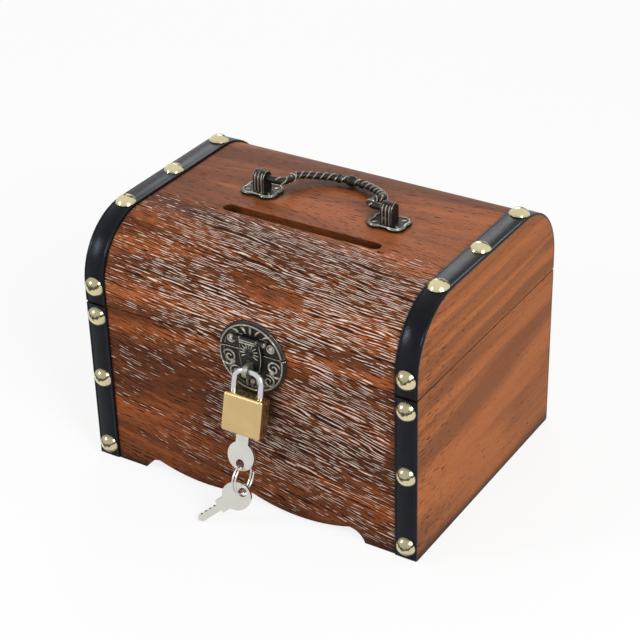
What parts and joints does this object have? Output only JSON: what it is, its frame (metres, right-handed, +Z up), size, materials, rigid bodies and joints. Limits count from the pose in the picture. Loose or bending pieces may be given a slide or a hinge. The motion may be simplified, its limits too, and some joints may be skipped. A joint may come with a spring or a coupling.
{
  "type": "wooden money box",
  "caption": "Small wooden chest used as a coin bank, with a bent hinged lid, coin slot, leather straps, drop handle, round hasp and a keyed brass padlock.",
  "frame": {"origin": "middle of the footprint, on the surface that the box stands on", "axes": "+X along the front to the right, +Y to the back, +Z up"},
  "size_m": [0.16, 0.1461, 0.1236],
  "materials": {
    "walnut_board": "stained brown, open dark pores along the board, thin satin lacquer",
    "walnut_end": "stained brown, smooth, long soft figure, thin satin lacquer",
    "bottom_board": "thin plain board, unstained",
    "strap_leather": "near-black dressed leather, glossy, fine grain",
    "dome_brass": "pale polished brass",
    "dark_bronze": "dark antique bronze, rubbed bright on raised edges",
    "hinge_brass": "brassed sheet, slightly dull",
    "padlock_brass": "satin brass, finely brushed",
    "latch_steel": "plain bright steel",
    "shackle_steel": "bright plated steel",
    "key_nickel": "nickel-plated, lightly brushed"
  },
  "bodies": {
    "chest": {"front_panel": "walnut_board", "back_panel": "walnut_board", "left_end_panel": "walnut_end", "right_end_panel": "walnut_end", "bottom_panel": "bottom_board", "left_front_strap": "strap_leather", "right_front_strap": "strap_leather", "left_back_strap": "strap_leather", "right_back_strap": "strap_leather", "front_strap_nails": "dome_brass", "back_strap_nails": "dome_brass", "lower_hasp_plate": "dark_bronze", "hasp_staple": "dark_bronze", "lower_plate_nails": "dark_bronze", "left_hinge_body_leaf": "hinge_brass", "right_hinge_body_leaf": "hinge_brass", "body_hinge_nails": "hinge_brass", "hinge_pins": "hinge_brass"},
    "lid": {"lid_shell": "walnut_board", "left_lid_cheek": "walnut_end", "right_lid_cheek": "walnut_end", "left_lid_strap": "strap_leather", "right_lid_strap": "strap_leather", "lid_strap_nails": "dome_brass", "upper_hasp_plate": "dark_bronze", "upper_plate_nails": "dark_bronze", "hasp_hinge_pin": "dark_bronze", "left_hinge_lid_leaf": "hinge_brass", "right_hinge_lid_leaf": "hinge_brass", "lid_hinge_nails": "hinge_brass", "left_handle_rose": "dark_bronze", "right_handle_rose": "dark_bronze", "left_handle_post": "dark_bronze", "right_handle_post": "dark_bronze", "handle_screws": "latch_steel"},
    "hasp_flap": {"hasp_flap": "dark_bronze"},
    "handle": {"handle_bail": "dark_bronze"},
    "shackle": {"padlock_shackle": "shackle_steel"},
    "padlock": {"padlock_case": "padlock_brass", "plug_cross_pin": "latch_steel"},
    "latch": {"latch_bolt": "latch_steel"},
    "lock_plug": {"lock_plug": "padlock_brass", "lock_wafers": "padlock_brass", "lock_key": "key_nickel"},
    "key_ring": {"key_ring": "key_nickel"},
    "spare_key": {"spare_key": "key_nickel"}
  },
  "joints": [
    {"name": "lid_hinge", "type": "hinge", "parent": "chest", "child": "lid", "pos_m": [0, 0.06155, 0.0774], "axis": [-1, 0, 0], "range_deg": [0, 130]},
    {"name": "hasp_swing", "type": "hinge", "parent": "lid", "child": "hasp_flap", "pos_m": [0.004, -0.0623, 0.083], "axis": [-1, 0, 0], "range_deg": [0, 169]},
    {"name": "handle_swing", "type": "hinge", "parent": "lid", "child": "handle", "pos_m": [0.0008, 0.0023, 0.1204], "axis": [1, 0, 0], "range_deg": [0, 201]},
    {"name": "padlock_swing", "type": "hinge", "parent": "chest", "child": "shackle", "pos_m": [0.0048, -0.0646, 0.07], "axis": [-1, 0, 0], "range_deg": [0, 140]},
    {"name": "padlock_pull", "type": "slide", "parent": "shackle", "child": "padlock", "axis": [0, -0.2215, -0.9751], "range_m": [0, 0.0054]},
    {"name": "latch_slide", "type": "slide", "parent": "padlock", "child": "latch", "axis": [-1, 0, 0], "range_m": [0, 0.0024]},
    {"name": "key_turn", "type": "hinge", "parent": "padlock", "child": "lock_plug", "pos_m": [0.0048, -0.0646, 0.07], "axis": [0, 0.2215, 0.9751], "range_deg": [0, 90]},
    {"name": "ring_swing", "type": "hinge", "parent": "lock_plug", "child": "key_ring", "pos_m": [0.0048, -0.07355, 0.0306], "axis": [0, 0.9751, -0.2215], "range_deg": [-30, 30]},
    {"name": "spare_key_swing", "type": "hinge", "parent": "key_ring", "child": "spare_key", "pos_m": [0.00545, -0.07355, 0.01675], "axis": [-0.2433, 0.9463, -0.2127], "range_deg": [0, 45]}
  ],
  "couplings": [
    {"joint": "hasp_swing", "follows": "lid_hinge", "ratio": 1.3},
    {"joint": "key_turn", "follows": "padlock_pull", "rad_per_m": 290.89},
    {"joint": "latch_slide", "follows": "padlock_pull", "ratio": 0.44518}
  ]
}
